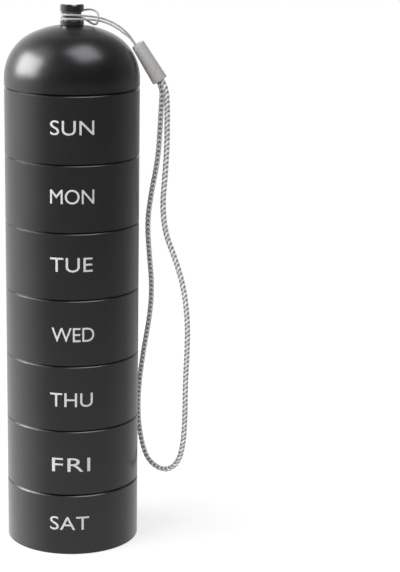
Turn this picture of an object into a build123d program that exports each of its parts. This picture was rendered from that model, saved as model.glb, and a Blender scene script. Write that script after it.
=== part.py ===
from build123d import *
import math
import os

# A screw-together stack of seven round pill cups, one for each day, closed by a domed
# lid. A post on the lid carries a wrist lanyard. Millimetres, +Z up the stack, the origin
# in the middle of the underside. The days face -Y and the lanyard hangs on the +X side.

DAYS = ["saturday", "friday", "thursday", "wednesday", "tuesday", "monday", "sunday"]

# Cups
outer_d = 34.6          # every cup and the lid's skirt
base_height = 16.3      # bottom cup, underside to seam
cup_pitch = 17.4        # each cup above it, seam to seam
edge_bevel = 0.3        # at the outer edges of a seam
end_bevel = 0.42        # the same on the bottom cup's rim and the lid's lower edge
foot_bevel = 0.15
floor_wall = 1.6
floor_round = 1.0       # inside corner that pills roll out of

# Screw joint between two cups: a hollow boss under the upper one in the mouth of the lower
rim_wall = 1.1          # wall outside the seal
boss_length = 5.0
boss_wall = 1.5
thread_room = 0.6       # radial space that the two threads share
mouth_end_gap = 0.5     # under the boss
lead_in = 0.4
seal_section = 1.6
seal_clearance = 0.1

# Lid
skirt_height = 2.3
shoulder_r = 12.4
crown_r = 23.9
crown_wall = 3.8

# Post
post_d = 6.1
post_seat_d = 6.5       # spot face on the crown
collar_height = 1.35
neck_d = 4.8
neck_height = 2.0
head_height = 2.1
post_bevel = 0.15
head_under_bevel = 0.3
head_top_bevel = 0.35
stud_d = 3.0
stud_length = 2.8
stud_clearance = 0.05
stud_end_gap = 0.3

# Lanyard
tether_d = 0.62
turn_pitch = 1.05       # the tether's two turns on the neck, middle to middle
turn_clearance = 0.1
sleeve_top_d = 3.4
sleeve_low_d = 4.1
sleeve_length = 10.9
sleeve_round = 0.3
sleeve_tilt = 32.0      # degrees from upright
strap_d = 1.6

# Radii and levels that follow from these
outer_r = outer_d / 2
seal_r = outer_r - rim_wall - seal_clearance - seal_section / 2
seal_seat_r = outer_r - rim_wall
groove_r = seal_r - seal_section / 2 - seal_clearance
seal_seat_depth = seal_section + 2 * seal_clearance
mouth_r = seal_r
boss_r = mouth_r - thread_room
cavity_r = boss_r - boss_wall
mouth_depth = boss_length + mouth_end_gap
lid_z = base_height + (len(DAYS) - 1) * cup_pitch
shoulder_z = lid_z + skirt_height
shoulder_x = outer_r - shoulder_r
crown_z = shoulder_z - math.sqrt((crown_r - shoulder_r) ** 2 - shoulder_x**2)
post_z = crown_z + math.sqrt(crown_r**2 - (post_seat_d / 2) ** 2)
neck_z = post_z + collar_height + neck_height / 2
top_z = post_z + collar_height + neck_height + head_height

# The lanyard's points are measured from the middle of the post's neck. The tether leaves
# its two turns to the right, and its bight comes round both strands.
SLEEVE_TOP = (16.62, 0, -6.82)
TETHER_UPPER = [
    (13.6, 0.36, -3.75),
    (11.55, 0.28, -2.2),
    (9.3, 0.2, -1.05),
    (6.6, 0.1, -0.28),
    (3.6, -1.6, 0.2),
]
TETHER_BIGHT = [
    (1.3, 2.85, 0.6),
    (3.1, 2.65, 1.35),
    (4.8, 2.0, 1.55),
    (6.2, 0.8, 1.15),
    (6.8, -1.35, 0.45),
    (6.65, -1.6, -1.35),
    (5.8, 0.1, -2.2),
    (4.6, 1.5, -1.85),
    (3.2, 2.5, -1.0),
    (1.6, 2.86, -0.54),
]
TETHER_LOWER = [
    (3.6, -1.75, -0.65),
    (6.6, -0.2, -1.0),
    (9.3, -0.36, -1.75),
    (11.35, -0.4, -2.85),
    (13.3, -0.42, -4.2),
]
STRAP = [
    (22.8, 0.8, -22.4),
    (22.5, 1.2, -29.6),
    (22.0, 2.1, -37.1),
    (20.4, 3.3, -45.6),
    (19.3, 4.3, -54.1),
    (19.9, 5.0, -62.6),
    (20.7, 5.6, -71.6),
    (20.2, 6.0, -79.6),
    (18.6, 6.6, -89.1),
    (17.4, 6.8, -98.6),
    (17.1, 6.7, -106.6),
    (17.9, 6.0, -113.6),
    (19.6, 4.2, -119.0),
    (22.7, 2.2, -121.3),
    (25.8, 1.0, -121.3),
    (28.4, 0.1, -118.6),
    (29.6, -0.6, -113.1),
    (29.95, -1.0, -105.6),
    (29.9, -1.3, -96.6),
    (30.3, -1.6, -87.1),
    (30.3, -1.8, -78.6),
    (29.1, -1.9, -69.6),
    (26.8, -1.9, -62.1),
    (24.2, -1.8, -55.6),
    (23.4, -1.7, -48.1),
    (24.0, -1.45, -40.6),
    (24.4, -1.15, -32.6),
    (24.4, -0.95, -26.6),
    (24.35, -0.8, -22.0),
]


def turned(points):
    """A ring or disc turned from its half section, given as (radius, height) points."""
    section = make_face(Polyline(*points, close=True))
    return revolve(Plane.XZ * section, Axis.Z)


def boss_outline(seam, bevel):
    """Half section of a boss below its seam, from the lower end to the shoulder's edge."""
    low = seam - boss_length
    groove = seam - seal_seat_depth
    return [
        (boss_r - lead_in, low),
        (boss_r, low + lead_in),
        (boss_r, groove),
        (groove_r, groove),
        (groove_r, seam),
        (outer_r - bevel, seam),
        (outer_r, seam + bevel),
    ]


def mouth_outline(seam, bevel):
    """Half section of a mouth, from the rim's outer edge down to the ledge inside."""
    ledge = seam - seal_seat_depth
    return [
        (outer_r, seam - bevel),
        (outer_r - bevel, seam),
        (seal_seat_r, seam),
        (seal_seat_r, ledge),
        (mouth_r + lead_in, ledge),
        (mouth_r, ledge - lead_in),
        (mouth_r, seam - mouth_depth),
        (cavity_r, seam - mouth_depth),
    ]


def cup(underside, seam, low_outline, rim_bevel):
    """A cup whose floor lies on the underside and whose mouth ends at the seam."""
    floor = underside + floor_wall
    section = make_face(
        Polyline(
            (0, underside),
            *low_outline,
            *mouth_outline(seam, rim_bevel),
            (cavity_r, floor),
            (0, floor),
            close=True,
        )
    )
    corner = section.vertices().sort_by_distance((cavity_r, floor, 0))[0]
    section = fillet(corner, floor_round)
    return revolve(Plane.XZ * section, Axis.Z)


def bottom_cup():
    foot = [(outer_r - foot_bevel, 0), (outer_r, foot_bevel)]
    return cup(0, base_height, foot, end_bevel)


def upper_cup(level):
    seam = base_height + (level - 1) * cup_pitch
    return cup(seam - boss_length, seam + cup_pitch, boss_outline(seam, edge_bevel), edge_bevel)


def seal(seam):
    """Rubber ring in the groove at the root of a boss."""
    ring = Torus(seal_r, seal_section / 2)
    return Pos(0, 0, seam - seal_seat_depth / 2) * ring


def lid():
    """Domed lid: a short skirt, a round shoulder and a flatter crown, hollow underneath."""
    lean = math.atan2(shoulder_z - crown_z, shoulder_x)
    tangent = (shoulder_x + shoulder_r * math.cos(lean), shoulder_z + shoulder_r * math.sin(lean))
    half = lean / 2
    mid_shoulder = (shoulder_x + shoulder_r * math.cos(half), shoulder_z + shoulder_r * math.sin(half))
    seat = (post_seat_d / 2, post_z)
    steep = (lean + math.acos(post_seat_d / 2 / crown_r)) / 2
    mid_crown = (crown_r * math.cos(steep), crown_z + crown_r * math.sin(steep))
    hole_r = stud_d / 2 + stud_clearance
    hole_end = post_z - stud_length - stud_end_gap
    ceiling = post_z - crown_wall
    rise = ceiling - shoulder_z
    hollow_r = (cavity_r**2 + rise**2) / (2 * rise)
    turn = math.asin(cavity_r / hollow_r) / 2
    mid_hollow = (hollow_r * math.sin(turn), ceiling - hollow_r * (1 - math.cos(turn)))
    with BuildPart() as part:
        with BuildSketch(Plane.XZ):
            with BuildLine():
                Polyline((cavity_r, lid_z - boss_length), *boss_outline(lid_z, end_bevel), (outer_r, shoulder_z))
                ThreePointArc((outer_r, shoulder_z), mid_shoulder, tangent)
                ThreePointArc(tangent, mid_crown, seat)
                Polyline(seat, (hole_r, post_z), (hole_r, hole_end), (0, hole_end), (0, ceiling))
                ThreePointArc((0, ceiling), mid_hollow, (cavity_r, shoulder_z))
                Line((cavity_r, shoulder_z), (cavity_r, lid_z - boss_length))
            make_face()
        revolve(axis=Axis.Z)
    return part.part


def post():
    """Post turned in one piece: a stud in the crown, a collar, a neck and a head."""
    stud_r = stud_d / 2
    neck_low = post_z + collar_height
    neck_top = neck_low + neck_height
    return turned(
        [
            (0, post_z - stud_length),
            (stud_r - post_bevel, post_z - stud_length),
            (stud_r, post_z - stud_length + post_bevel),
            (stud_r, post_z),
            (post_d / 2 - post_bevel, post_z),
            (post_d / 2, post_z + post_bevel),
            (post_d / 2, neck_low - post_bevel),
            (post_d / 2 - post_bevel, neck_low),
            (neck_d / 2, neck_low),
            (neck_d / 2, neck_top),
            (post_d / 2 - head_under_bevel, neck_top),
            (post_d / 2, neck_top + head_under_bevel),
            (post_d / 2, top_z - head_top_bevel),
            (post_d / 2 - head_top_bevel, top_z),
            (0, top_z),
        ]
    )


def cord(name, points, diameter):
    """A round cord along straight runs that arcs join, each as large as its runs allow."""
    stops = [Vector(*p) for p in points]
    runs = [b - a for a, b in zip(stops, stops[1:])]
    radii = []
    for before, after in zip(runs, runs[1:]):
        half_turn = math.radians(before.get_angle(after)) / 2
        radii.append(0.45 * min(before.length, after.length) / math.tan(half_turn))
    path = FilletPolyline(*stops, radius=radii)
    section = Plane(origin=path @ 0, z_dir=path % 0) * Circle(diameter / 2)
    tube = sweep(section, path=path)
    share = tube.volume / (math.pi * diameter**2 / 4 * path.length)
    print(f"{name}: {path.length:.1f} mm, volume {share:.4f} of section x length")
    print("  radii", " ".join(f"{r:.1f}" for r in radii))
    return tube


def half_turn(level, reverse=False):
    """Corners round the far side of the neck, from the front to the back."""
    turn_r = neck_d / 2 + tether_d / 2 + turn_clearance
    corner_r = turn_r / math.cos(math.radians(22.5))
    angles = [math.radians(a) for a in (247.5, 202.5, 157.5, 112.5)]
    front = [(turn_r / 4, -turn_r, level)]
    ring = front + [(corner_r * math.cos(a), corner_r * math.sin(a), level) for a in angles]
    return ring[::-1] if reverse else ring


def sleeve_plane():
    """Plane on the sleeve's top face, its z along the sleeve and away from the post."""
    tilt = math.radians(sleeve_tilt)
    along = (math.sin(tilt), 0, -math.cos(tilt))
    across = (math.cos(tilt), 0, math.sin(tilt))
    return Plane(origin=SLEEVE_TOP, x_dir=across, z_dir=along)


def sleeve():
    """Tapered sleeve that grips both cords."""
    cone = Cone(sleeve_top_d / 2, sleeve_low_d / 2, sleeve_length, align=(Align.CENTER, Align.CENTER, Align.MIN))
    cone = fillet(cone.edges().filter_by(GeomType.CIRCLE), sleeve_round)
    return sleeve_plane() * cone


def tether():
    """Thin cord hitched round the neck: both ends in the sleeve, its bight over both strands."""
    sleeve_at = sleeve_plane()
    side = 0.42
    toward_lid = -0.6
    run = 1.7
    ends = []
    for y in (side, -side):
        end = sleeve_at.from_local_coords((toward_lid, -y, 0))
        lead = sleeve_at.from_local_coords((toward_lid, -y, -run))
        ends.append((end, lead))
    upper = half_turn(turn_pitch / 2)
    lower = half_turn(-turn_pitch / 2, reverse=True)
    points = [*ends[0], *TETHER_UPPER, *upper, *TETHER_BIGHT, *lower, *TETHER_LOWER, *ends[1][::-1]]
    return cord("tether_cord", points, tether_d)


def strap():
    """Braided wrist loop: both ends in the low end of the sleeve."""
    sleeve_at = sleeve_plane()
    across = 0.5
    side = 0.72
    run = 2.1
    ends = []
    for sign in (-1, 1):
        end = sleeve_at.from_local_coords((sign * across, sign * side, sleeve_length))
        lead = sleeve_at.from_local_coords((sign * across, sign * side, sleeve_length + run))
        ends.append((end, lead))
    points = [*ends[0], *STRAP, *ends[1][::-1]]
    return cord("wrist_strap", points, strap_d)


def lanyard():
    to_neck = Pos(0, 0, neck_z)
    return {"tether_cord": to_neck * tether(), "cord_sleeve": to_neck * sleeve(), "wrist_strap": to_neck * strap()}


def build():
    parts = {f"{DAYS[0]}_cup": bottom_cup()}
    for level, day in enumerate(DAYS[1:], start=1):
        parts[f"{day}_cup"] = upper_cup(level)
        parts[f"{day}_seal"] = seal(base_height + (level - 1) * cup_pitch)
    parts["lid_seal"] = seal(lid_z)
    parts["domed_lid"] = lid()
    parts["lanyard_post"] = post()
    parts.update(lanyard())
    return parts


os.makedirs("parts", exist_ok=True)
for name, shape in build().items():
    export_step(shape, f"parts/{name}.step")
print(f"seam under the lid {lid_z:.2f}, shoulder {shoulder_z:.2f}, post {post_z:.2f}, neck {neck_z:.2f}, top {top_z:.2f}")
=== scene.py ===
# %% [markdown]
# # A stack of screw-together pill cups
# Seven round cups, one for each day, screw into each other and are closed by a domed lid.
# A small post on the lid carries a thin tether, a sleeve and a braided wrist strap.
# The solid model is loaded first and stays where it is. Everything below dresses it:
# finishes, day letters, screw threads, the sleeve's mouths and the yarns of both cords.

# %% Load the solid model
import math

import bmesh
import bpy
from mathutils import Matrix, Vector


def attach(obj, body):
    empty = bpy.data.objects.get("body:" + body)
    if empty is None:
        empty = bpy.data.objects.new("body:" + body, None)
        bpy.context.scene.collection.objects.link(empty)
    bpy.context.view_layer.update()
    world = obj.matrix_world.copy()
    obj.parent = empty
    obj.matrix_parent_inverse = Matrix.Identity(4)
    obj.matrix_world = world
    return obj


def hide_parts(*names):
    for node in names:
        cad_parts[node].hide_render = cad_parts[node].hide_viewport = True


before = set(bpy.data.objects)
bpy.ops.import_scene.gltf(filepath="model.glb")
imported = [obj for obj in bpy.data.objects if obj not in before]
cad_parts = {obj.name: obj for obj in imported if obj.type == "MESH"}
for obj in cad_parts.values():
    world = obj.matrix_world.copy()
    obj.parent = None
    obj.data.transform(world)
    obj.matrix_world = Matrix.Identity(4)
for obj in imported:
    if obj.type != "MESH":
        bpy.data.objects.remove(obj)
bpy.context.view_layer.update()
bpy.context.scene.view_settings.view_transform = "Standard"
MM = 0.001

# %% [markdown]
# ## Camera
# The camera stands half a metre in front of the stack, a little to its right and above it,
# and looks down by fourteen degrees. A long lens keeps the seams nearly flat. The place and
# the lens come from fitting the seams and edges of the stack, so nothing is shifted.

# %% Camera
CAMERA_AT = Vector((33.39, -485.45, 191.42)) * MM
LOOK_DOWN = 0.2477      # radians
ROLL = 0.015
LENS = 120.35           # millimetres
SENSOR = 36             # millimetres along the picture's long side
NEAREST = 0.01          # metres; nothing nearer is drawn

camera = bpy.data.objects.new("camera", bpy.data.cameras.new("camera"))
bpy.context.scene.collection.objects.link(camera)
camera.data.lens = LENS
camera.data.sensor_width = SENSOR
camera.data.clip_start = NEAREST
turned = Matrix.Rotation(math.pi / 2 - LOOK_DOWN, 4, "X") @ Matrix.Rotation(ROLL, 4, "Z")
camera.matrix_world = Matrix.Translation(CAMERA_AT) @ turned
bpy.context.scene.camera = camera
print("camera at", tuple(round(v, 4) for v in CAMERA_AT), "lens", LENS)

# %% [markdown]
# ## Where the lanyard runs
# Both cords are one smooth line each. A NURBS curve suits a limp cord, because it rounds
# every corner by itself. The points are measured from the middle of the post's neck. The
# tether leaves the sleeve, goes once round the neck, comes back as a bight over both of its
# own strands, goes round the neck again and returns to the sleeve. The strap is the long
# loop for the wrist, and both of its ends are in the low end of the sleeve.

# %% Sizes of the lanyard and the frame of its sleeve
NECK_Z = 138.62         # height of the middle of the post's neck
NECK_D = 4.8
TETHER_D = 0.62
TURN_PITCH = 1.05       # between the tether's two turns on the neck
TURN_CLEARANCE = 0.1
STRAP_D = 1.6
SLEEVE_TOP = Vector((16.62, 0, -6.82))
SLEEVE_TILT = math.radians(32)      # from upright
SLEEVE_LENGTH = 10.9
MOUTH_DEPTH = 0.5       # how deep the cords' holes in the sleeve are seen

sleeve_along = Vector((math.sin(SLEEVE_TILT), 0, -math.cos(SLEEVE_TILT)))
sleeve_across = Vector((math.cos(SLEEVE_TILT), 0, math.sin(SLEEVE_TILT)))
sleeve_side = sleeve_along.cross(sleeve_across)


def on_sleeve(across, side, along):
    """A point given in the sleeve's own directions, from the middle of its top face."""
    return SLEEVE_TOP + sleeve_across * across + sleeve_side * side + sleeve_along * along


def half_turn(level):
    """Corners of an octagon round the left of the neck, from the front to the back."""
    turn_r = NECK_D / 2 + TETHER_D / 2 + TURN_CLEARANCE
    corner_r = turn_r / math.cos(math.radians(22.5))
    angles = [math.radians(a) for a in (247.5, 202.5, 157.5, 112.5)]
    ring = [(corner_r * math.cos(a), corner_r * math.sin(a), level) for a in angles]
    return [(turn_r / 4, -turn_r, level)] + ring


print("sleeve's low end, from the neck:", tuple(round(v, 2) for v in on_sleeve(0, 0, SLEEVE_LENGTH)))

# %% The two routes
TETHER_HOLES = (0.6, 0.42)      # how far its ends lie from the middle of the sleeve, across and to each side
STRAP_HOLES = (0.5, 0.72)
TETHER_LEAD = 1.7       # how far each cord runs straight out of the sleeve
STRAP_LEAD = 2.1
TETHER_UPPER = [
    (13.6, 0.36, -3.75),
    (11.55, 0.28, -2.2),
    (9.3, 0.2, -1.05),
    (6.6, 0.1, -0.28),
    (3.6, -1.6, 0.2),
]
TETHER_BIGHT = [
    (1.3, 2.85, 0.6),
    (3.1, 2.65, 1.35),
    (4.8, 2.0, 1.55),
    (6.2, 0.8, 1.15),
    (6.8, -1.35, 0.45),
    (6.65, -1.6, -1.35),
    (5.8, 0.1, -2.2),
    (4.6, 1.5, -1.85),
    (3.2, 2.5, -1.0),
    (1.6, 2.86, -0.54),
]
TETHER_LOWER = [
    (3.6, -1.75, -0.65),
    (6.6, -0.2, -1.0),
    (9.3, -0.36, -1.75),
    (11.35, -0.4, -2.85),
    (13.3, -0.42, -4.2),
]
STRAP_RUN = [
    (22.8, 0.8, -22.4),
    (22.5, 1.2, -29.6),
    (22.0, 2.1, -37.1),
    (20.4, 3.3, -45.6),
    (19.3, 4.3, -54.1),
    (19.9, 5.0, -62.6),
    (20.7, 5.6, -71.6),
    (20.2, 6.0, -79.6),
    (18.6, 6.6, -89.1),
    (17.4, 6.8, -98.6),
    (17.1, 6.7, -106.6),
    (17.9, 6.0, -113.6),
    (19.6, 4.2, -119.0),
    (22.7, 2.2, -121.3),
    (25.8, 1.0, -121.3),
    (28.4, 0.1, -118.6),
    (29.6, -0.6, -113.1),
    (29.95, -1.0, -105.6),
    (29.9, -1.3, -96.6),
    (30.3, -1.6, -87.1),
    (30.3, -1.8, -78.6),
    (29.1, -1.9, -69.6),
    (26.8, -1.9, -62.1),
    (24.2, -1.8, -55.6),
    (23.4, -1.7, -48.1),
    (24.0, -1.45, -40.6),
    (24.4, -1.15, -32.6),
    (24.4, -0.95, -26.6),
    (24.35, -0.8, -22.0),
]


def ends_in_sleeve(across, side, depth, lead):
    """The two points of a cord at its hole: inside the sleeve, and a little outside it."""
    return [on_sleeve(across, side, depth), on_sleeve(across, side, lead)]


tether_start, tether_end = (
    ends_in_sleeve(-TETHER_HOLES[0], sign * TETHER_HOLES[1], MOUTH_DEPTH, -TETHER_LEAD) for sign in (-1, 1)
)
tether_points = [
    *tether_start,
    *TETHER_UPPER,
    *half_turn(TURN_PITCH / 2),
    *TETHER_BIGHT,
    *reversed(half_turn(-TURN_PITCH / 2)),
    *TETHER_LOWER,
    *reversed(tether_end),
]
strap_start, strap_end = (
    ends_in_sleeve(
        sign * STRAP_HOLES[0], sign * STRAP_HOLES[1], SLEEVE_LENGTH - MOUTH_DEPTH, SLEEVE_LENGTH + STRAP_LEAD
    )
    for sign in (-1, 1)
)
strap_points = [*strap_start, *STRAP_RUN, *reversed(strap_end)]


def centre_line(name, points):
    """A smooth curve through the lanyard's air, in metres and in the model's own frame."""
    curve = bpy.data.curves.new(name, "CURVE")
    curve.dimensions = "3D"
    curve.resolution_u = 16
    spline = curve.splines.new("NURBS")
    spline.points.add(len(points) - 1)
    for point, place in zip(spline.points, points):
        point.co = ((Vector(place) + Vector((0, 0, NECK_Z))) * MM).to_4d()
    spline.order_u = 3
    spline.use_endpoint_u = True
    line = bpy.data.objects.new(name, curve)
    bpy.context.scene.collection.objects.link(line)
    return line


def points_along(line):
    """The points of a centre line, as Blender rounds it."""
    graph = bpy.context.evaluated_depsgraph_get()
    mesh = bpy.data.meshes.new_from_object(line.evaluated_get(graph), depsgraph=graph)
    points = [vertex.co.copy() for vertex in mesh.vertices]
    bpy.data.meshes.remove(mesh)
    return points


def run_length(points):
    return sum((b - a).length for a, b in zip(points, points[1:]))


tether_line = centre_line("tether_line", tether_points)
strap_line = centre_line("strap_line", strap_points)
tether_path = points_along(tether_line)
strap_path = points_along(strap_line)
for label, path in (("tether", tether_path), ("strap", strap_path)):
    print(f"{label}: {run_length(path) / MM:.1f} mm in {len(path)} points")

# %% [markdown]
# ## Writing node trees as sums
# Materials and Geometry Nodes are both trees of nodes. Wiring each node by hand hides what
# it works out, so one small class wraps a socket. Arithmetic on a wrapped socket adds the
# Math node for it, and one method adds any other node with its settings and inputs.

# %% A wire from one node to the next


class Wire:
    """A socket of a node tree, or the empty start of one."""

    def __init__(self, tree, socket=None):
        self.tree = tree
        self.socket = socket

    def node(self, kind, settings=None, inputs=None, out=0):
        made = self.tree.nodes.new(kind)
        for key, value in (settings or {}).items():
            setattr(made, key, value)
        for key, value in (inputs or {}).items():
            if isinstance(value, Wire):
                self.tree.links.new(value.socket, made.inputs[key])
            else:
                made.inputs[key].default_value = value
        return Wire(self.tree, made.outputs[out] if made.outputs else None)

    def other(self, name):
        """Another output of the same node."""
        return Wire(self.tree, self.socket.node.outputs[name])

    def math(self, operation, *values):
        return self.node("ShaderNodeMath", {"operation": operation}, dict(enumerate(values)))

    def __add__(self, value):
        return self.math("ADD", self, value)

    __radd__ = __add__

    def __sub__(self, value):
        return self.math("SUBTRACT", self, value)

    def __rsub__(self, value):
        return self.math("SUBTRACT", value, self)

    def __mul__(self, value):
        return self.math("MULTIPLY", self, value)

    __rmul__ = __mul__

    def __truediv__(self, value):
        return self.math("DIVIDE", self, value)

    def __pow__(self, value):
        return self.math("POWER", self, value)

    def sin(self):
        return self.math("SINE", self)

    def cos(self):
        return self.math("COSINE", self)

    def vector(self, operation, *values, out="Vector"):
        """Vector arithmetic with this wire as the first vector."""
        inputs = dict(enumerate((self, *values)))
        return self.node("ShaderNodeVectorMath", {"operation": operation}, inputs, out)

    def scaled(self, factor):
        return self.node("ShaderNodeVectorMath", {"operation": "SCALE"}, {0: self, "Scale": factor})

    def point(self, x, y, z):
        return self.node("ShaderNodeCombineXYZ", None, {"X": x, "Y": y, "Z": z})

    def between(self, low, high):
        """This wire's value from 0 at low to 1 at high, and never outside."""
        return self.node("ShaderNodeMapRange", None, {"Value": self, "From Min": low, "From Max": high})

    def blend(self, colour_at_0, colour_at_1):
        inputs = {0: self, 6: colour_at_0, 7: colour_at_1}
        return self.node("ShaderNodeMix", {"data_type": "RGBA"}, inputs, 2)


print("operators on a wire:", ", ".join(n for n in vars(Wire) if n.startswith("__") and n != "__init__"))

# %% A new material, and the shader that every finish here ends in


def grey(level, warmth=0.0):
    """An opaque grey, a little warmer or cooler."""
    return (level * (1 + warmth), level, level * (1 - warmth), 1)


def new_finish(name):
    material = bpy.data.materials.new(name)
    material.use_nodes = True
    material.node_tree.nodes.clear()
    return material, Wire(material.node_tree)


def finish_with(start, inputs):
    """The closing shader of a finish. Numbers go on its sockets, wires are linked."""
    shader = start.node("ShaderNodeBsdfPrincipled", None, inputs)
    start.node("ShaderNodeOutputMaterial", None, {"Surface": shader})


def bumped(height, depth):
    """Relief from a height that runs from 0 to 1 over this depth."""
    return height.node("ShaderNodeBump", None, {"Height": height, "Distance": depth})


def noise(at, size, detail=2.0, roughness=0.5):
    """Noise with features of this size, in the units of the place that it reads."""
    inputs = {"Vector": at, "Scale": 1 / size, "Detail": detail, "Roughness": roughness}
    return at.node("ShaderNodeTexNoise", None, inputs)


print("greys run from", grey(0), "to", grey(1))

# %% [markdown]
# ## Yarn
# Both cords are braided from soft yarns of many fine fibres. A fibre runs along its yarn, so
# the streaks follow the yarn and not the world. Each yarn's mesh carries a vector for this:
# where a point lies across the yarn, and how far along it. Noise that is stretched along
# that direction gives the fibres, in the colour and in the relief. The mesh also says where
# a yarn lies over its neighbours and where it dips under them: the colour is kept light on
# the crests, and painted shade darkens it in the dips and along its edges. Cloth scatters
# light at grazing angles, which the sheen stands for.

# %% Yarn finish
FIBRE_SHARE = 0.3       # of the light colour that single fibres decide
PATCH_SHARE = 0.2       # and larger patches
YARN_SHARE = 0.12       # and the yarn as a whole
LIGHT_SHARE = 0.5       # and what every crest has


def yarn_finish(name, light, dark, fibres, fibre_length, relief):
    """Soft fibres along a yarn. The fibres are counted across half of its width."""
    material, start = new_finish(name)
    yarn = start.node("ShaderNodeAttribute", {"attribute_name": "yarn"}, None, "Vector")
    tone = start.node("ShaderNodeAttribute", {"attribute_name": "tone"}, None, "Fac")
    over = start.node("ShaderNodeAttribute", {"attribute_name": "over"}, None, "Fac")
    stretched = yarn.vector("MULTIPLY", (fibres, fibres, 1 / fibre_length))
    streaks = noise(stretched, 1.0, detail=3.0, roughness=0.6)
    patches = noise(yarn.vector("MULTIPLY", (0.5, 0.5, 1 / (9 * fibre_length))), 1.0)
    across = yarn.node("ShaderNodeSeparateXYZ", None, {"Vector": yarn}, "Y")
    # Painted shade: the colour is light on a yarn's crests and dark where it dips under its neighbours and
    # along its edges
    painted_dip_shade = over.between(-0.7, 0.5) * (1 - across * across * across * across)
    fibre = streaks.between(0.3, 0.7)
    shade = (fibre * FIBRE_SHARE + patches * PATCH_SHARE + LIGHT_SHARE + tone * YARN_SHARE) * painted_dip_shade
    finish_with(
        start,
        {
            "Base Color": shade.blend(dark, light),
            "Roughness": 0.72 - streaks * 0.15,
            "Sheen Weight": 0.35,
            "Sheen Roughness": 0.5,
            "Normal": bumped(streaks, relief),
        },
    )
    return material


tether_yarn = yarn_finish(
    "tether_yarn",
    light=grey(0.47, 0.01),
    dark=grey(0.22, 0.01),
    fibres=5.0,
    fibre_length=0.5 * MM,
    relief=0.012 * MM,
)
strap_yarn = yarn_finish(
    "strap_yarn",
    light=grey(0.78, 0.02),
    dark=grey(0.1, 0.03),
    fibres=6.0,
    fibre_length=0.9 * MM,
    relief=0.03 * MM,
)
print("yarn finishes:", tether_yarn.name, strap_yarn.name)

# %% [markdown]
# ## A round braid
# The strap is a round braid of eight yarns. Four wind to the left and four to the right, and
# each goes over two and under two of the others. Seen along the cord that always happens at
# the same sides of it, so a yarn's distance from the middle follows a cosine of twice its
# angle, with opposite signs for the two directions. That gives the braid its columns of
# small V shapes. This is a rule that follows a path, which is what Geometry Nodes are for.
# The tree copies the centre line eight times, bends each copy into its own helix, and
# sweeps a flattened yarn along it.

# %% Helpers for trees that grow a mesh


def new_tree(name, sockets):
    """An empty geometry tree with these named inputs, and a wire for each of them."""
    tree = bpy.data.node_groups.new(name, "GeometryNodeTree")
    tree.interface.new_socket("Geometry", in_out="OUTPUT", socket_type="NodeSocketGeometry")
    tree.interface.new_socket("Geometry", in_out="INPUT", socket_type="NodeSocketGeometry")
    for label, kind in sockets.items():
        tree.interface.new_socket(label, in_out="INPUT", socket_type="NodeSocket" + kind)
    entry = tree.nodes.new("NodeGroupInput")
    return tree, Wire(tree), {label: Wire(tree, entry.outputs[label]) for label in sockets}


def end_tree(start, geometry, finish):
    """Every tree ends in real faces with a material on them."""
    smooth = start.node("GeometryNodeSetShadeSmooth", None, {"Geometry": geometry})
    real = start.node("GeometryNodeRealizeInstances", None, {"Geometry": smooth})
    dressed = start.node("GeometryNodeSetMaterial", None, {"Geometry": real, "Material": finish})
    start.node("NodeGroupOutput", None, {"Geometry": dressed})


def keep(start, geometry, name, value, kind="FLOAT_VECTOR"):
    """Store a value on every point of a geometry, under a name."""
    settings = {"data_type": kind, "domain": "POINT"}
    return start.node(
        "GeometryNodeStoreNamedAttribute", settings, {"Geometry": geometry, "Name": name, "Value": value}
    )


def kept(start, name, kind="FLOAT_VECTOR"):
    return start.node("GeometryNodeInputNamedAttribute", {"data_type": kind}, {"Name": name})


def grow(name, tree, values):
    """A plain mesh object from a tree, with its named inputs set by their identifiers."""
    piece = bpy.data.objects.new(name, bpy.data.meshes.new(name))
    bpy.context.scene.collection.objects.link(piece)
    modifier = piece.modifiers.new(name, "NODES")
    modifier.node_group = tree
    for item in tree.interface.items_tree:
        if item.in_out == "INPUT" and item.name in values:
            modifier[item.identifier] = values[item.name]
    graph = bpy.context.evaluated_depsgraph_get()
    mesh = bpy.data.meshes.new_from_object(
        piece.evaluated_get(graph), preserve_all_data_layers=True, depsgraph=graph
    )
    piece.modifiers.clear()
    piece.data = mesh
    mesh.name = name
    print(f"{name}: {len(mesh.polygons)} faces")
    return piece


# %% The braid's tree
braid, start, given = new_tree(
    "round braid",
    {
        "Path": "Object",
        "Pitch": "Float",
        "Middle radius": "Float",
        "Weave depth": "Float",
        "Column turn": "Float",
        "Yarn width": "Float",
        "Yarn thickness": "Float",
        "Steps": "Int",
        "Sides": "Int",
        "Finish": "Material",
    },
)
YARNS = 8
path_info = start.node("GeometryNodeObjectInfo", None, {"Object": given["Path"]}, "Geometry")
line = start.node(
    "GeometryNodeResampleCurve", {"mode": "COUNT"}, {"Curve": path_info, "Count": given["Steps"]}
)
copies = start.node(
    "GeometryNodeDuplicateElements", {"domain": "SPLINE"}, {"Geometry": line, "Amount": YARNS}, "Geometry"
)
index = copies.other("Duplicate Index")
hand = 1 - 2 * index.math("MODULO", index, 2)
first_angle = index.math("FLOOR", index / 2) * (4 * math.pi / YARNS)
along = start.node("GeometryNodeSplineParameter", None, None, "Length")
angle = first_angle + hand * along * (2 * math.pi) / given["Pitch"]
normal = start.node("GeometryNodeInputNormal")
tangent = start.node("GeometryNodeInputTangent")
binormal = tangent.vector("CROSS_PRODUCT", normal)
outward = normal.scaled(angle.cos()).vector("ADD", binormal.scaled(angle.sin()))
over = hand * (angle * 2 - given["Column turn"] * 2).cos()
distance = given["Middle radius"] + given["Weave depth"] * over

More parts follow.
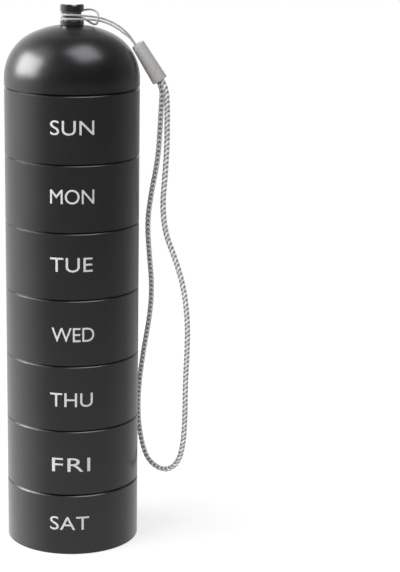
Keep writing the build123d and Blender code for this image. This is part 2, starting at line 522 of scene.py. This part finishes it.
yarns = keep(start, copies, "outward", outward)
yarns = keep(start, yarns, "along", along, "FLOAT")
yarns = keep(start, yarns, "over", over, "FLOAT")
yarns = keep(start, yarns, "tone", index.math("PINGPONG", index, 2) - 1, "FLOAT")
yarns = start.node(
    "GeometryNodeSetPosition", None, {"Geometry": yarns, "Offset": outward.scaled(distance)}
)
yarns = start.node(
    "GeometryNodeSetCurveNormal", {"mode": "FREE"}, {"Curve": yarns, "Normal": kept(start, "outward")}
)
round_section = start.node(
    "GeometryNodeCurvePrimitiveCircle", {"mode": "RADIUS"}, {"Resolution": given["Sides"], "Radius": 1.0}
)
section = keep(start, round_section, "across", start.node("GeometryNodeInputPosition"))
flattened = start.point(given["Yarn thickness"] / 2, given["Yarn width"] / 2, 1)
section = start.node("GeometryNodeTransform", None, {"Geometry": section, "Scale": flattened})
swept = start.node(
    "GeometryNodeCurveToMesh", None, {"Curve": yarns, "Profile Curve": section, "Fill Caps": True}
)
across = start.node("ShaderNodeSeparateXYZ", None, {"Vector": kept(start, "across")})
yarn_place = start.point(across, across.other("Y"), kept(start, "along", "FLOAT"))
swept = keep(start, swept, "yarn", yarn_place)
for scratch in ("outward", "across", "along"):
    swept = start.node("GeometryNodeRemoveAttribute", None, {"Geometry": swept, "Name": scratch})
end_tree(start, swept, given["Finish"])
print("nodes in the braid's tree:", len(braid.nodes))

# %% [markdown]
# The same tree makes both cords. The strap is 1.6 mm thick and its V shapes repeat every
# 1.2 mm, a quarter of the pitch. The tether is a much finer braid of the same kind.

# %% Tether and strap
YARN_THICKNESS = 0.27   # this, the width and the depth are shares of the cord's thickness
YARN_WIDTH = 0.44
WEAVE_DEPTH = 0.11
STEPS_PER_PITCH = 20
COLUMN_TURN = math.radians(45)      # of the columns of V shapes about the cord
TETHER_PITCH = 1.9      # one turn of a yarn round the cord
STRAP_PITCH = 4.8


def braided(name, line, path, size, pitch, sides, finish):
    """A braided cord of this thickness along a centre line, as one mesh on the lanyard."""
    yarn_thickness = YARN_THICKNESS * size
    weave_depth = WEAVE_DEPTH * size
    middle = size / 2 - yarn_thickness / 2 - weave_depth
    piece = grow(
        name,
        braid,
        {
            "Path": line,
            "Pitch": pitch * MM,
            "Middle radius": middle * MM,
            "Weave depth": weave_depth * MM,
            "Column turn": COLUMN_TURN,
            "Yarn width": YARN_WIDTH * size * MM,
            "Yarn thickness": yarn_thickness * MM,
            "Steps": round(run_length(path) / (pitch * MM) * STEPS_PER_PITCH),
            "Sides": sides,
            "Finish": finish,
        },
    )
    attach(piece, "lanyard")
    return piece


tether = braided("tether", tether_line, tether_path, TETHER_D, TETHER_PITCH, sides=6, finish=tether_yarn)
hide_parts("tether_cord")

strap = braided("strap", strap_line, strap_path, STRAP_D, STRAP_PITCH, sides=8, finish=strap_yarn)
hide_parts("wrist_strap")
for line in (tether_line, strap_line):
    bpy.data.objects.remove(line)
print("tether and strap ride on the lanyard")

# %% [markdown]
# ## Finishes of the metal, rubber and sleeve
# The cups are aluminium, turned, blasted to an even satin and dyed black in the anodising
# bath. That leaves a fine grain, which scatters a highlight, and faint clouds where hands
# and handling have changed the gloss. Along the bevels of the seams the dye is thin and the
# metal shows through. All of it is worked out from Object coordinates, so it stays with the
# metal.

# %% Anodised black
OXIDE_IOR = 1.77        # of the clear oxide that the dye is sealed in
OUTER_R = 17.3          # of every cup
SHOULDER_Z = 123.0      # where the lid's straight side ends
BEVEL_REACH = 0.45      # how far in from the wall a bevel goes
BEVEL_FADE = 0.15
BARE_EDGE = 0.11        # grey of the metal where the dye is thin


def on_bevel(start, at):
    """1 on the sloping edges of the seams, and 0 on the walls, the dome and the flat faces."""
    parts = start.node("ShaderNodeSeparateXYZ", None, {"Vector": at})
    x, y, z = parts, parts.other("Y"), parts.other("Z")
    facing = start.node("ShaderNodeTexCoord", None, None, "Normal")
    slope = start.math("ABSOLUTE", start.node("ShaderNodeSeparateXYZ", None, {"Vector": facing}, "Z"))
    outer = (OUTER_R - BEVEL_REACH) * MM
    at_edge = ((x * x + y * y) ** 0.5).between(outer - BEVEL_FADE * MM, outer)
    below_dome = z.between(SHOULDER_Z * MM, (SHOULDER_Z - 1) * MM)
    return at_edge * below_dome * slope.between(0.3, 0.5) * slope.between(0.95, 0.85)


def anodised(name, colour, roughness, grain_depth):
    """Satin dyed aluminium: an even grain, faint clouds in its gloss, and bare bevels."""
    material, start = new_finish(name)
    at = start.node("ShaderNodeTexCoord", None, None, "Object")
    grain = noise(at, 0.11 * MM, roughness=0.6)
    clouds = noise(at, 14 * MM, detail=3.0)
    spots = noise(at, 1.4 * MM)
    tint = (clouds * 0.6 + grain * 0.4).between(0.3, 0.7)
    dyed = tint.blend(grey(colour * 0.85), grey(colour * 1.15, -0.02))
    bare = on_bevel(start, at)
    finish_with(
        start,
        {
            "Base Color": bare.blend(dyed, grey(BARE_EDGE)),
            "Metallic": bare,
            "Roughness": clouds * 0.06 + spots * 0.03 + (roughness - 0.045),
            "IOR": OXIDE_IOR,
            "Normal": bumped(grain, grain_depth),
        },
    )
    return material


black_shell = anodised("black_shell", colour=0.007, roughness=0.3, grain_depth=0.0035 * MM)
print("shell finish:", black_shell.name)

# %% [markdown]
# The post is turned from bar and left bright before it is dyed, so it is glossier, and it
# keeps the fine rings that the tool cuts. A ring is the same all the way round, so the
# relief depends on the height and the distance from the axis and on nothing else.

# %% Gloss black post
POLISHED_IOR = 1.8
COAT_ROUGHNESS = 0.08


def turned_gloss(name, colour, roughness, ring_pitch, ring_depth):
    """Dyed metal that keeps the fine rings of the lathe."""
    material, start = new_finish(name)
    at = start.node("ShaderNodeTexCoord", None, None, "Object")
    parts = start.node("ShaderNodeSeparateXYZ", None, {"Vector": at})
    x, y, z = parts, parts.other("Y"), parts.other("Z")
    from_axis = (x * x + y * y) ** 0.5
    ring_place = start.point((from_axis + z) / ring_pitch, 0.0, 0.0)
    rings = noise(ring_place, 1.0)
    scuffs = noise(at, 0.5 * MM, detail=3.0)
    finish_with(
        start,
        {
            "Base Color": rings.blend(grey(colour * 0.7), grey(colour * 1.3)),
            "Roughness": scuffs * 0.08 + (roughness - 0.04),
            "IOR": POLISHED_IOR,
            "Coat Weight": 1.0,
            "Coat Roughness": COAT_ROUGHNESS,
            "Normal": bumped(rings, ring_depth),
        },
    )
    return material


black_post = turned_gloss(
    "black_post", colour=0.012, roughness=0.16, ring_pitch=0.12 * MM, ring_depth=0.0015 * MM
)
print("post finish:", black_post.name)

# %% [markdown]
# Each seal is a moulded rubber ring. Rubber is dull, with fine pores and a soft pale bloom
# that comes out of it with age. Both are noise, the bloom in the colour and in the gloss.

# %% Seal rubber


def rubber(name, colour):
    """Dull black rubber with a pale bloom."""
    material, start = new_finish(name)
    at = start.node("ShaderNodeTexCoord", None, None, "Object")
    bloom = noise(at, 2.5 * MM, detail=4.0, roughness=0.6)
    pores = noise(at, 0.16 * MM)
    finish_with(
        start,
        {
            "Base Color": bloom.between(0.35, 0.75).blend(grey(colour), grey(colour * 2.2)),
            "Roughness": bloom * 0.15 + 0.5,
            "Normal": bumped(pores, 0.006 * MM),
        },
    )
    return material


seal_rubber = rubber("seal_rubber", colour=0.02)
print("seal finish:", seal_rubber.name)

# %% [markdown]
# The sleeve is moulded in a light grey plastic with a satin face. A mould leaves a very
# fine texture, and faint lines where the plastic flowed along it.

# %% Sleeve plastic
FLOW_WIDTH = 0.35 * MM
FLOW_LENGTH = 4 * MM
WARMTH = 0.03


def moulded(name, colour, roughness):
    """Satin plastic with flow lines along the sleeve."""
    material, start = new_finish(name)
    at = start.node("ShaderNodeTexCoord", None, None, "Object")
    level = start.node(
        "ShaderNodeMapping", None, {"Vector": at, "Rotation": (0.0, -SLEEVE_TILT, 0.0)}
    )
    flow = noise(level.vector("MULTIPLY", (1 / FLOW_WIDTH, 1 / FLOW_WIDTH, 1 / FLOW_LENGTH)), 1.0, detail=3.0)
    grain = noise(at, 0.09 * MM)
    tint = flow.between(0.3, 0.7)
    finish_with(
        start,
        {
            "Base Color": tint.blend(grey(colour * 0.93, WARMTH), grey(colour * 1.05, WARMTH)),
            "Roughness": flow * 0.12 + (roughness - 0.06),
            "Normal": bumped(grain + flow, 0.004 * MM),
        },
    )
    return material


sleeve_plastic = moulded("sleeve_plastic", colour=0.34, roughness=0.38)
print("sleeve finish:", sleeve_plastic.name)

# %% [markdown]
# The solid model's own pieces keep their meshes and only get their finishes here.

# %% Dress the solid pieces


def dress(node, finish):
    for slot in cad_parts[node].material_slots:
        slot.material = finish


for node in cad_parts:
    if node.endswith("_cup") or node == "domed_lid":
        dress(node, black_shell)
    elif node.endswith("_seal"):
        dress(node, seal_rubber)
dress("lanyard_post", black_post)
print("dressed:", ", ".join(sorted(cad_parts)))

# %% [markdown]
# ## Screw threads
# Each boss carries a ridge that winds round it, and each mouth has one that winds inside it
# half a pitch lower, so they interleave. Seen from the outside both rise to the right, as a
# right-hand thread does. A ridge is a four-sided section swept along a helix, and it fades
# at both ends, where the tool ran in and out. One tree makes both kinds: the section points
# outwards on a boss and inwards in a mouth.

# %% The thread's tree
THREAD_PITCH = 1.5
FADE_SHARE = 0.12       # of the ridge's length, at each end
LEAST_SIZE = 0.08       # of its section, as a share, where it starts and ends
SINK_SHARE = 0.1        # of its height that goes into the wall
thread, start, given = new_tree(
    "thread ridge",
    {
        "Radius": "Float",
        "Level": "Float",
        "Pitch": "Float",
        "Turns": "Float",
        "Height": "Float",
        "Foot width": "Float",
        "Crest width": "Float",
        "Facing": "Float",
        "Steps": "Int",
        "Finish": "Material",
    },
)
straight = start.node("GeometryNodeCurvePrimitiveLine", {"mode": "POINTS"}, {"End": (0, 0, 1)})
steps = start.node(
    "GeometryNodeResampleCurve", {"mode": "COUNT"}, {"Curve": straight, "Count": given["Steps"]}
)
share = start.node("GeometryNodeSplineParameter", None, None, "Factor")
angle = share * given["Turns"] * (2 * math.pi)
level = given["Level"] + share * given["Turns"] * given["Pitch"]
helix_place = start.point(given["Radius"] * angle.cos(), given["Radius"] * angle.sin(), level)
facing = start.point(given["Facing"] * angle.cos(), given["Facing"] * angle.sin(), 0)
both_ends = share.between(0, FADE_SHARE) * (1 - share.between(1 - FADE_SHARE, 1))
fade = both_ends * (1 - LEAST_SIZE) + LEAST_SIZE
helix = keep(start, steps, "facing", facing)
helix = keep(start, helix, "fade", fade, "FLOAT")
helix = start.node("GeometryNodeSetPosition", None, {"Geometry": helix, "Position": helix_place})
helix = start.node(
    "GeometryNodeSetCurveNormal", {"mode": "FREE"}, {"Curve": helix, "Normal": kept(start, "facing")}
)
sink = given["Height"] * -SINK_SHARE
half_foot = given["Foot width"] / 2
half_crest = given["Crest width"] / 2
ridge_section = start.node(
    "GeometryNodeCurvePrimitiveQuadrilateral",
    {"mode": "POINTS"},
    {
        "Point 1": start.point(sink, 0 - half_foot, 0),
        "Point 2": start.point(sink, half_foot, 0),
        "Point 3": start.point(given["Height"], half_crest, 0),
        "Point 4": start.point(given["Height"], 0 - half_crest, 0),
    },
)
ridge = start.node(
    "GeometryNodeCurveToMesh",
    None,
    {
        "Curve": helix,
        "Profile Curve": ridge_section,
        "Scale": kept(start, "fade", "FLOAT"),
        "Fill Caps": True,
    },
)
for scratch in ("facing", "fade"):
    ridge = start.node("GeometryNodeRemoveAttribute", None, {"Geometry": ridge, "Name": scratch})
end_tree(start, ridge, given["Finish"])
print("nodes in the thread's tree:", len(thread.nodes))

# %% Threads on every boss and in every mouth
DAYS = ("saturday", "friday", "thursday", "wednesday", "tuesday", "monday", "sunday")
BASE_HEIGHT = 16.3
CUP_PITCH = 17.4
BOSS_R = 14.7
MOUTH_R = 15.3
THREAD_HEIGHT = 0.47
THREAD_FOOT = 0.75
THREAD_CREST = 0.28
STEPS_PER_TURN = 60
BOSS_THREAD_LEVEL = -4.1        # of its start, from the seam
BOSS_THREAD_TURNS = 1.15
MOUTH_THREAD_TURNS = 1.5


def seam_of(step):
    """Height of the seam at the foot of a cup, counted from the friday cup up."""
    return BASE_HEIGHT + step * CUP_PITCH


def thread_ridge(name, body, radius, level, turns, facing):
    """A ridge that rides on a body. It faces outwards with 1 and inwards with -1."""
    ridge = grow(
        name,
        thread,
        {
            "Radius": radius * MM,
            "Level": level * MM,
            "Pitch": THREAD_PITCH * MM,
            "Turns": turns,
            "Height": THREAD_HEIGHT * MM,
            "Foot width": THREAD_FOOT * MM,
            "Crest width": THREAD_CREST * MM,
            "Facing": facing,
            "Steps": round(turns * STEPS_PER_TURN),
            "Finish": black_shell,
        },
    )
    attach(ridge, body)


for step, lower in enumerate(DAYS):
    upper = (*DAYS, "lid")[step + 1]
    start_level = seam_of(step) + BOSS_THREAD_LEVEL
    thread_ridge(f"{upper}_boss_thread", upper, BOSS_R, start_level, BOSS_THREAD_TURNS, 1.0)
    thread_ridge(
        f"{lower}_mouth_thread", lower, MOUTH_R, start_level - THREAD_PITCH / 2, MOUTH_THREAD_TURNS, -1.0
    )

# %% [markdown]
# ## The sleeve
# A tapered tube grips all four cord ends. Its two holes show as dark rims round the cords,
# so the piece is a turned shape with a shallow mouth at each end. Turning a half section
# round an axis is the quickest way to any such shape, and bmesh does it in a few lines.

# %% Turn a half section, and make the sleeve
SLEEVE_TOP_R = 1.7
SLEEVE_LOW_R = 2.05
SLEEVE_ROUND = 0.3      # of its outer edges
TOP_HOLE_R = 1.2
LOW_HOLE_R = 1.75
LIP = 0.12              # rounded edge of each hole
SLEEVE_SIDES = 64


def turned_mesh(name, outline, sides):
    """A closed shape turned round z, from (radius, height) points that start and end on the axis."""
    mesh = bpy.data.meshes.new(name)
    shape = bmesh.new()
    rings = []
    for radius, height in outline:
        if radius == 0:
            rings.append([shape.verts.new((0, 0, height))] * sides)
        else:
            turns = [2 * math.pi * k / sides for k in range(sides)]
            places = [(radius * math.cos(a), radius * math.sin(a), height) for a in turns]
            rings.append([shape.verts.new(place) for place in places])
    for low, high in zip(rings, rings[1:]):
        for k in range(sides):
            corners = [low[k], low[(k + 1) % sides], high[(k + 1) % sides], high[k]]
            shape.faces.new(dict.fromkeys(corners))
    bmesh.ops.recalc_face_normals(shape, faces=shape.faces[:])
    shape.to_mesh(mesh)
    shape.free()
    return mesh


def rounded(corner, start, end, steps=5):
    """Points of a quarter round from start to end, with the corner outside it."""
    points = []
    for k in range(steps + 1):
        t = k / steps
        shares = ((1 - t) ** 2, 2 * t * (1 - t), t**2)
        places = zip(start, corner, end)
        points.append(tuple(sum(share * v for share, v in zip(shares, values)) for values in places))
    return points


def sleeve_outline():
    """Half a section of the sleeve, from the floor of its top hole to the floor of its low one."""
    low = SLEEVE_LENGTH
    narrowing = SLEEVE_ROUND * (SLEEVE_LOW_R - SLEEVE_TOP_R) / SLEEVE_LENGTH
    return [
        (0, MOUTH_DEPTH),
        (TOP_HOLE_R, MOUTH_DEPTH),
        *rounded((TOP_HOLE_R, 0), (TOP_HOLE_R, LIP), (TOP_HOLE_R + LIP, 0), 3),
        *rounded(
            (SLEEVE_TOP_R, 0),
            (SLEEVE_TOP_R - SLEEVE_ROUND, 0),
            (SLEEVE_TOP_R + narrowing, SLEEVE_ROUND),
        ),
        *rounded(
            (SLEEVE_LOW_R, low),
            (SLEEVE_LOW_R - narrowing, low - SLEEVE_ROUND),
            (SLEEVE_LOW_R - SLEEVE_ROUND / 2, low),
        ),
        *rounded((LOW_HOLE_R, low), (LOW_HOLE_R + LIP, low), (LOW_HOLE_R, low - LIP), 3),
        (LOW_HOLE_R, low - MOUTH_DEPTH),
        (0, low - MOUTH_DEPTH),
    ]


sleeve_mesh = turned_mesh("sleeve", sleeve_outline(), SLEEVE_SIDES)
axes = Matrix((sleeve_across, sleeve_side, sleeve_along)).transposed().to_4x4()
sleeve_at = Matrix.Translation(SLEEVE_TOP + Vector((0, 0, NECK_Z)))
sleeve_mesh.transform(Matrix.Scale(MM, 4) @ sleeve_at @ axes)
sleeve_mesh.polygons.foreach_set("use_smooth", [True] * len(sleeve_mesh.polygons))
sleeve_mesh.materials.append(sleeve_plastic)
sleeve = bpy.data.objects.new("sleeve", sleeve_mesh)
bpy.context.scene.collection.objects.link(sleeve)
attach(sleeve, "lanyard")
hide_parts("cord_sleeve")
print("sleeve faces:", len(sleeve_mesh.polygons))

# %% [markdown]
# ## Day letters
# Each cup carries its day in plain light grey capitals, printed on the metal. Text starts
# flat, so it is made a mesh, cut into narrow upright strips, and bent round the cup. Without
# the cuts, its long straight faces would dip under the curved metal. The print is a closed
# solid a few hundredths of a millimetre thick. Blender's own plain letters are used.

# %% Ink


def printed(name, colour):
    """Matt ink: slightly uneven cover, with pinholes at the scale of the metal's grain."""
    material, start = new_finish(name)
    at = start.node("ShaderNodeTexCoord", None, None, "Object")
    cover = noise(at, 0.3 * MM, detail=3.0, roughness=0.6)
    pinholes = noise(at, 0.07 * MM, detail=1.0).between(0.25, 0.36)
    shade = cover.between(0.25, 0.75) * 0.4 + pinholes * 0.6
    finish_with(
        start,
        {
            "Base Color": shade.blend(grey(colour * 0.6), grey(colour)),
            "Roughness": 0.62 - cover * 0.1,
            "Normal": bumped(cover, 0.004 * MM),
        },
    )
    return material


ink = printed("letter_ink", colour=0.47)
print("ink:", ink.name)

# %% Words
CAP_HEIGHT = 3.7
INK_PROUD = 0.015       # how far the print stands out of the metal
INK_SUNK = 0.04         # and how far it goes in, so that no gap shows
STRIP = 0.4             # width of the strips that a word is cut into
MERGED = 1e-5           # points of a flat word nearer than this are one

# Each word, where its middle is, in degrees round from the front and in height above the
# cup's foot, and how wide it is
WORDS = {
    "sunday": ("SUN", 3.9, 9.5, 11.1),
    "monday": ("MON", 3.8, 9.5, 11.2),
    "tuesday": ("TUE", 3.0, 9.4, 10.9),
    "wednesday": ("WED", 4.25, 8.5, 11.0),
    "thursday": ("THU", 2.8, 8.55, 11.1),
    "friday": ("FRI", 2.4, 8.4, 10.0),
    "saturday": ("SAT", 0.95, 8.6, 10.3),
}


def flat_word(text, spacing):
    """A word as a flat mesh, with its box. The spacing is 1 for letters set as usual."""
    curve = bpy.data.curves.new(text, "FONT")
    curve.body = text
    curve.space_character = spacing
    curve.resolution_u = 6
    curve.fill_mode = "BOTH"
    carrier = bpy.data.objects.new(text, curve)
    bpy.context.scene.collection.objects.link(carrier)
    graph = bpy.context.evaluated_depsgraph_get()
    mesh = bpy.data.meshes.new_from_object(carrier.evaluated_get(graph), depsgraph=graph)
    bpy.data.objects.remove(carrier)
    xs = [v.co.x for v in mesh.vertices]
    ys = [v.co.y for v in mesh.vertices]
    return mesh, (min(xs), max(xs), min(ys), max(ys))


def width_over_height(text, spacing):
    mesh, (left, right, low, high) = flat_word(text, spacing)
    bpy.data.meshes.remove(mesh)
    return (right - left) / (high - low)


SPACING_SHARE = 0.15    # of a word's extra width; stretching the letters gives the rest


def fitting_spacing(text, ratio):
    """The letter spacing that gives a word its share of the way to a width over height."""
    plain, wide = width_over_height(text, 1.0), width_over_height(text, 1.5)
    wanted = plain * (ratio / plain) ** SPACING_SHARE
    return 1 + 0.5 * (wanted - plain) / (wide - plain)


def printed_word(day, text, turn, height, width):
    """A word bent round its cup, as a thin closed solid that turns with the cup."""
    spacing = fitting_spacing(text, width / CAP_HEIGHT)
    mesh, (left, right, low, high) = flat_word(text, spacing)
    foot = 0 if day == DAYS[0] else seam_of(DAYS.index(day) - 1)
    across = width / (right - left)
    up = CAP_HEIGHT / (high - low)
    print(f"{text}: letters set at {spacing:.2f} of their usual spacing, stretched {across / up:.2f} times")
    shape = bmesh.new()
    shape.from_mesh(mesh)
    bmesh.ops.remove_doubles(shape, verts=shape.verts[:], dist=MERGED)
    for vertex in shape.verts:
        vertex.co.x = (vertex.co.x - (left + right) / 2) * across
        vertex.co.y = (vertex.co.y - (low + high) / 2) * up
        vertex.co.z = 0
    cut = -width / 2 + STRIP
    while cut < width / 2:
        everything = shape.verts[:] + shape.edges[:] + shape.faces[:]
        bmesh.ops.bisect_plane(shape, geom=everything, plane_co=(cut, 0, 0), plane_no=(1, 0, 0), dist=1e-6)
        cut += STRIP
    raised = bmesh.ops.extrude_face_region(shape, geom=shape.faces[:])
    for element in raised["geom"]:
        if isinstance(element, bmesh.types.BMVert):
            element.co.z = INK_PROUD
    for vertex in shape.verts:
        radius = OUTER_R + (INK_PROUD if vertex.co.z > 0 else -INK_SUNK)
        angle = math.radians(turn) + vertex.co.x / OUTER_R
        level = foot + height + vertex.co.y
        vertex.co = Vector((radius * math.sin(angle), -radius * math.cos(angle), level)) * MM
    bmesh.ops.recalc_face_normals(shape, faces=shape.faces[:])
    shape.to_mesh(mesh)
    shape.free()
    mesh.materials.clear()
    mesh.materials.append(ink)
    word = bpy.data.objects.new(f"{day}_letters", mesh)
    bpy.context.scene.collection.objects.link(word)
    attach(word, day)


for day, (text, turn, height, width) in WORDS.items():
    printed_word(day, text, turn, height, width)

# %% [markdown]
# ## Stage
# The stack stands on a plain white table in front of a white background. The camera sees
# that white as it is written. Near the stack a share of the table's own shading is left in,
# so that the stack keeps its soft shadow.

# %% Floor


def ray_kinds(start):
    """Two wires: 1 for a ray from the camera, and 1 for a reflected or refracted one."""
    camera_ray = start.node("ShaderNodeLightPath", None, None, "Is Camera Ray")
    glossy_ray, clear_ray = camera_ray.other("Is Glossy Ray"), camera_ray.other("Is Transmission Ray")
    return camera_ray, start.math("MAXIMUM", glossy_ray, clear_ray)


TABLE_GREY = 0.82       # of the table itself, where it is lit
TABLE_SHADE = 0.3       # share of the table's own shading that the camera sees near the stack
SHADE_NEAR = 0.12       # metres from the stack's axis where that share begins to fade
SHADE_FAR = 0.35        # and where only plain white is left
TABLE_GLOW = 0.5        # share of that white in the light which the table throws on matt surfaces


def table_finish():
    material, start = new_finish("table")
    camera_ray, mirrored_ray = ray_kinds(start)
    lit = start.node("ShaderNodeBsdfDiffuse", None, {"Color": grey(TABLE_GREY)})
    white = start.node("ShaderNodeEmission", None, {"Color": grey(1.0), "Strength": 1.0})
    seen = camera_ray + mirrored_ray
    at = start.node("ShaderNodeTexCoord", None, None, "Object")
    near = at.vector("LENGTH", out="Value").between(SHADE_FAR, SHADE_NEAR)
    share = seen * (1 - near * TABLE_SHADE) + (1 - seen) * TABLE_GLOW
    mixed = start.node("ShaderNodeMixShader", None, {0: share, 1: lit, 2: white})
    start.node("ShaderNodeOutputMaterial", None, {"Surface": mixed})
    return material


FLOOR_SIZE = 8.0
FLOOR_FRONT = -0.32     # its near edge, below the picture
FLOOR_DROP = 0.02 * MM  # under the stack's foot
floor_mesh = bpy.data.meshes.new("floor")
corners = [(-FLOOR_SIZE / 2, FLOOR_FRONT), (FLOOR_SIZE / 2, FLOOR_FRONT)]
corners += [(x, FLOOR_FRONT + FLOOR_SIZE) for x, y in reversed(corners)]
floor_mesh.from_pydata([(x, y, -FLOOR_DROP) for x, y in corners], [], [(0, 1, 2, 3)])
floor_mesh.materials.append(table_finish())
floor = bpy.data.objects.new("floor", floor_mesh)
bpy.context.scene.collection.objects.link(floor)
floor.visible_glossy = False
print("floor from y =", FLOOR_FRONT, "to", FLOOR_FRONT + FLOOR_SIZE)

# %% [markdown]
# ## What the black metal mirrors
# Black metal has almost no colour of its own, so its look is the room around it. The world
# gives matt surfaces an even soft light. Reflected rays see a studio instead: a white wall
# to the left and behind, a dim one to the right, and a dark room in front, which leaves the
# middle of the stack dark. The background glows just above the table, which brightens the
# crown of the dome. Lower down they see the table, lighter on the right and near the stack.

# %% World
world = bpy.data.worlds.new("studio")
bpy.context.scene.world = world
world.use_nodes = True
world.node_tree.nodes.clear()
start = Wire(world.node_tree)
towards = start.node("ShaderNodeTexCoord", None, None, "Generated")
direction = start.node("ShaderNodeSeparateXYZ", None, {"Vector": towards})
rightward, backward, upward = direction, direction.other("Y"), direction.other("Z")
LEFT_WALL = 0.7         # how bright each part of the room is, where 1 is white
BACK_WALL = 0.25
HORIZON_GLOW = 0.6
FAR_TABLE = 0.06
NEAR_TABLE = 0.6
RIGHT_TABLE = 0.18
DARKEST = 0.01
EVEN_LIGHT = 0.6        # on matt surfaces, from every side
CEILING_LOSS = 0.85     # share of the walls' light that the ceiling lacks

left_wall = (backward * 0.6 - rightward * 0.8).between(0.1, 0.85)
back_wall = backward.between(-0.3, 0.7)
ceiling = upward.between(0.45, 0.95)
walls = (left_wall * LEFT_WALL + back_wall * BACK_WALL) * (1 - ceiling * CEILING_LOSS)
horizon = upward.between(-0.15, 0.05) * upward.between(0.45, 0.25)
glow = backward.between(0.8, 0.95) * horizon * HORIZON_GLOW
right_side = rightward.between(0.1, 0.4) * backward.between(0.35, 0.65) * upward.between(-0.16, -0.22)
table_top = upward.between(0.03, -0.08) * FAR_TABLE + upward.between(-0.25, -0.42) * NEAR_TABLE
studio = walls + glow + right_side * RIGHT_TABLE + table_top + DARKEST
camera_ray, mirrored_ray = ray_kinds(start)
matt_ray = 1 - camera_ray - mirrored_ray
strength = camera_ray + mirrored_ray * studio + matt_ray * EVEN_LIGHT
background = start.node("ShaderNodeBackground", None, {"Color": grey(1.0), "Strength": strength})
start.node("ShaderNodeOutputWorld", None, {"Surface": background})
print("world nodes:", len(world.node_tree.nodes))

# %% [markdown]
# ## Lamps
# A wide soft box to the left of the stack, higher than the dome and turned a little about
# its own middle, draws the large highlight. A weak one above it catches the edges of the
# seams. One overhead, slightly cool, draws the second, dimmer highlight. The last stands in
# front on the left, where the stack does not hide it from the outer half of the strap, and
# it is left out of reflections.

# %% Soft boxes
AIM = Vector((0, 0, 0.125))
COOL_WHITE = (0.95, 0.93, 1.0)


def soft_box(name, at, width, height, watts, roll=0.0, colour=(1, 1, 1), mirrored=True):
    """A rectangular lamp that faces the dome, turned about its own middle by a roll in degrees."""
    lamp = bpy.data.lights.new(name, "AREA")
    lamp.shape = "RECTANGLE"
    lamp.size = width
    lamp.size_y = height
    lamp.energy = watts
    lamp.color = colour
    carrier = bpy.data.objects.new(name, lamp)
    carrier.visible_glossy = mirrored
    bpy.context.scene.collection.objects.link(carrier)
    place = Vector(at)
    facing = (AIM - place).to_track_quat("-Z", "Y").to_matrix().to_4x4()
    rolled = Matrix.Rotation(math.radians(roll), 4, "Z")
    carrier.matrix_world = Matrix.Translation(place) @ facing @ rolled
    print(f"{name}: {(AIM - place).length:.2f} m away, {watts} W")


soft_box("left_box", (-0.82, -0.05, 0.495), width=0.74, height=0.57, watts=12.0, roll=10.0)
soft_box("high_box", (-0.55, -0.05, 0.83), width=0.5, height=0.4, watts=0.5)
soft_box("top_box", (0.235, -0.19, 0.86), width=0.5, height=0.5, watts=2.7, colour=COOL_WHITE)
soft_box("front_fill", (-0.54, -0.54, 0.5), width=0.5, height=0.5, watts=6.5, mirrored=False)
